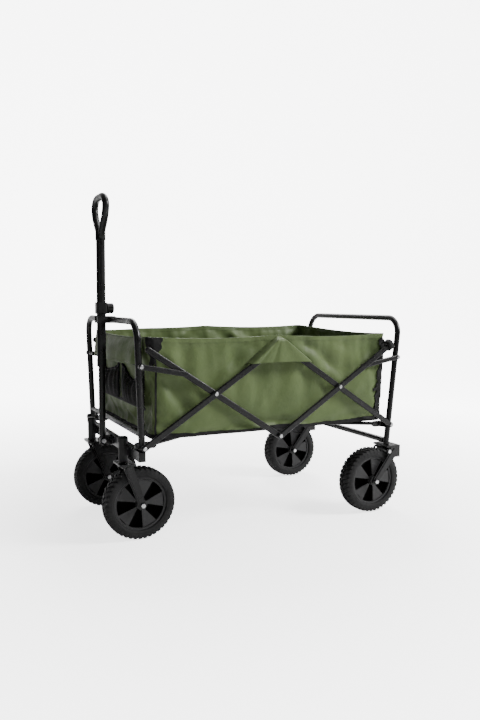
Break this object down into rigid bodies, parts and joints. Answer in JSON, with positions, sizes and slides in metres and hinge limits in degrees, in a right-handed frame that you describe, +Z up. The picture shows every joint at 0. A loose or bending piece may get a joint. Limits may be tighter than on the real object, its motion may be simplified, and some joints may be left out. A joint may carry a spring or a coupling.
{
  "type": "folding camp wagon",
  "caption": "Folding camp wagon: fabric tub in a scissor frame of black tube, swivel casters in front, fixed wheels behind and a telescopic pull handle.",
  "frame": {"origin": "on the floor under the middle of the whole wagon's box", "axes": "+X to the rear, -X to the pull handle, +Y to the left, +Z up"},
  "size_m": [0.8396, 0.5126, 0.8581],
  "materials": {
    "black_steel": "semi-gloss black powder coat",
    "zinc_steel": "bright zinc plate",
    "black_plastic": "moulded, fine grain",
    "wheel_plastic": "moulded, satin",
    "tyre_rubber": "matte rubber",
    "grip_rubber": "soft moulded",
    "olive_fabric": "plain polyester weave",
    "mat_fabric": "polyester over a stiff board",
    "black_webbing": "ribbed webbing"
  },
  "bodies": {
    "front_frame": {"front_loop_tube": "black_steel", "front_base_bar": "black_steel", "front_base_end_caps": "black_plastic", "front_cross_tube": "black_steel", "front_leg_rivets": "zinc_steel", "front_corner_brackets": "black_steel", "corner_knobs": "black_plastic", "caster_housings": "black_plastic", "caster_caps": "black_plastic", "handle_yoke": "black_steel", "handle_pivot_bolt": "zinc_steel", "handle_clip": "black_plastic", "fabric_tub": "olive_fabric", "floor_mat": "mat_fabric", "front_straps": "black_webbing"},
    "arms_a": {"arm_a_left": "black_steel", "arm_a_right": "black_steel", "arm_rivets_a": "zinc_steel"},
    "arms_b": {"arm_b_left": "black_steel", "arm_b_right": "black_steel", "arm_rivets_b": "zinc_steel"},
    "arms_c": {"arm_c_left": "black_steel", "arm_c_right": "black_steel"},
    "arms_d": {"arm_d_left": "black_steel", "arm_d_right": "black_steel", "arm_rivets_d": "zinc_steel"},
    "front_link_pair": {"front_links": "black_steel"},
    "rear_link_pair": {"rear_links": "black_steel"},
    "floor_front": {"floor_hub_front": "black_steel", "floor_bar_front_left": "black_steel", "floor_bar_front_right": "black_steel", "floor_pins": "zinc_steel"},
    "floor_rear": {"floor_hub_rear": "black_steel", "floor_bar_rear_left": "black_steel", "floor_bar_rear_right": "black_steel"},
    "rear_frame": {"rear_loop_tube": "black_steel", "rear_cross_tube": "black_steel", "rear_corner_brackets": "black_steel", "rear_rivets_and_bolts": "zinc_steel", "rear_axles": "zinc_steel", "rear_fork_left": "black_steel", "rear_fork_right": "black_steel"},
    "handle_lower": {"handle_lower_tube": "black_steel"},
    "handle_upper": {"handle_sleeve": "black_steel", "handle_sleeve_ring": "black_plastic", "handle_collar": "black_plastic", "handle_grip": "grip_rubber"},
    "clamp_knob": {"handle_clamp_knob": "black_plastic"},
    "caster_left": {"caster_fork_left": "black_steel", "front_axle_left": "zinc_steel"},
    "front_wheel_left": {"front_wheel_rim_left": "wheel_plastic", "front_tyre_left": "tyre_rubber"},
    "rear_wheel_left": {"rear_wheel_rim_left": "wheel_plastic", "rear_tyre_left": "tyre_rubber"},
    "caster_right": {"caster_fork_right": "black_steel", "front_axle_right": "zinc_steel"},
    "front_wheel_right": {"front_wheel_rim_right": "wheel_plastic", "front_tyre_right": "tyre_rubber"},
    "rear_wheel_right": {"rear_wheel_rim_right": "wheel_plastic", "rear_tyre_right": "tyre_rubber"}
  },
  "joints": [
    {"name": "fold", "type": "hinge", "parent": "front_frame", "child": "arms_a", "pos_m": [-0.3458, 0, 0.244], "axis": [0, -1, 0], "range_deg": [0, 36.9], "deforming": ["fabric_tub", "floor_mat"]},
    {"name": "front_crossing", "type": "hinge", "parent": "arms_a", "child": "arms_b", "pos_m": [-0.1638, 0, 0.3623], "axis": [0, -1, 0], "range_deg": [-74.3, 0]},
    {"name": "top_pivot", "type": "hinge", "parent": "arms_a", "child": "arms_d", "pos_m": [0.0182, 0, 0.4806], "axis": [0, -1, 0], "range_deg": [-74.3, 0]},
    {"name": "rear_crossing", "type": "hinge", "parent": "arms_d", "child": "arms_c", "pos_m": [0.2002, 0, 0.3623], "axis": [0, -1, 0], "range_deg": [0, 74.3]},
    {"name": "rear_upright", "type": "hinge", "parent": "arms_d", "child": "rear_frame", "pos_m": [0.3822, 0, 0.244], "axis": [0, -1, 0], "range_deg": [0, 37.4]},
    {"name": "front_link_pivot", "type": "hinge", "parent": "front_frame", "child": "front_link_pair", "pos_m": [-0.35294, 0, 0.435], "axis": [0, -1, 0], "range_deg": [0, 75.6]},
    {"name": "rear_link_pivot", "type": "hinge", "parent": "rear_frame", "child": "rear_link_pair", "pos_m": [0.40104, 0, 0.435], "axis": [0, -1, 0], "range_deg": [-69.48, 0]},
    {"name": "floor_front_pivot", "type": "hinge", "parent": "front_frame", "child": "floor_front", "pos_m": [-0.3318, 0, 0.244], "axis": [0, -1, 0], "range_deg": [0, 68.46]},
    {"name": "floor_hub_pivot", "type": "hinge", "parent": "floor_front", "child": "floor_rear", "pos_m": [0.0182, 0, 0.24], "axis": [0, -1, 0], "range_deg": [-136.43, 0]},
    {"name": "caster_swivel_left", "type": "hinge", "parent": "front_frame", "child": "caster_left", "pos_m": [-0.3688, 0.15, 0.19], "axis": [0, 0, 1], "continuous": true},
    {"name": "front_wheel_spin_left", "type": "hinge", "parent": "caster_left", "child": "front_wheel_left", "pos_m": [-0.3298, 0.15, 0.09], "axis": [0, 1, 0], "continuous": true},
    {"name": "rear_wheel_spin_left", "type": "hinge", "parent": "rear_frame", "child": "rear_wheel_left", "pos_m": [0.3252, 0.2175, 0.09], "axis": [0, 1, 0], "continuous": true},
    {"name": "caster_swivel_right", "type": "hinge", "parent": "front_frame", "child": "caster_right", "pos_m": [-0.3688, -0.15, 0.19], "axis": [0, 0, 1], "continuous": true},
    {"name": "front_wheel_spin_right", "type": "hinge", "parent": "caster_right", "child": "front_wheel_right", "pos_m": [-0.3298, -0.15, 0.09], "axis": [0, 1, 0], "continuous": true},
    {"name": "rear_wheel_spin_right", "type": "hinge", "parent": "rear_frame", "child": "rear_wheel_right", "pos_m": [0.3252, -0.2175, 0.09], "axis": [0, 1, 0], "continuous": true},
    {"name": "handle_pivot", "type": "hinge", "parent": "front_frame", "child": "handle_lower", "pos_m": [-0.3788, 0, 0.222], "axis": [0, -1, 0], "range_deg": [0, 95]},
    {"name": "handle_slide", "type": "slide", "parent": "handle_lower", "child": "handle_upper", "axis": [0, 0, 1], "range_m": [0, 0.22]},
    {"name": "clamp_knob_turn", "type": "hinge", "parent": "handle_upper", "child": "clamp_knob", "pos_m": [-0.3638, 0, 0.567], "axis": [1, 0, 0], "range_deg": [0, 180]}
  ],
  "couplings": [
    {"joint": "front_crossing", "follows": "fold", "ratio": -2},
    {"joint": "top_pivot", "follows": "fold", "ratio": -2},
    {"joint": "rear_crossing", "follows": "fold", "ratio": 2},
    {"joint": "rear_upright", "follows": "fold", "ratio": 1},
    {"joint": "front_link_pivot", "follows": "fold", "ratio": 2.0353},
    {"joint": "rear_link_pivot", "follows": "fold", "ratio": -1.8694},
    {"joint": "floor_front_pivot", "follows": "fold", "ratio": 1.8418},
    {"joint": "floor_hub_pivot", "follows": "fold", "ratio": -3.6837}
  ]
}
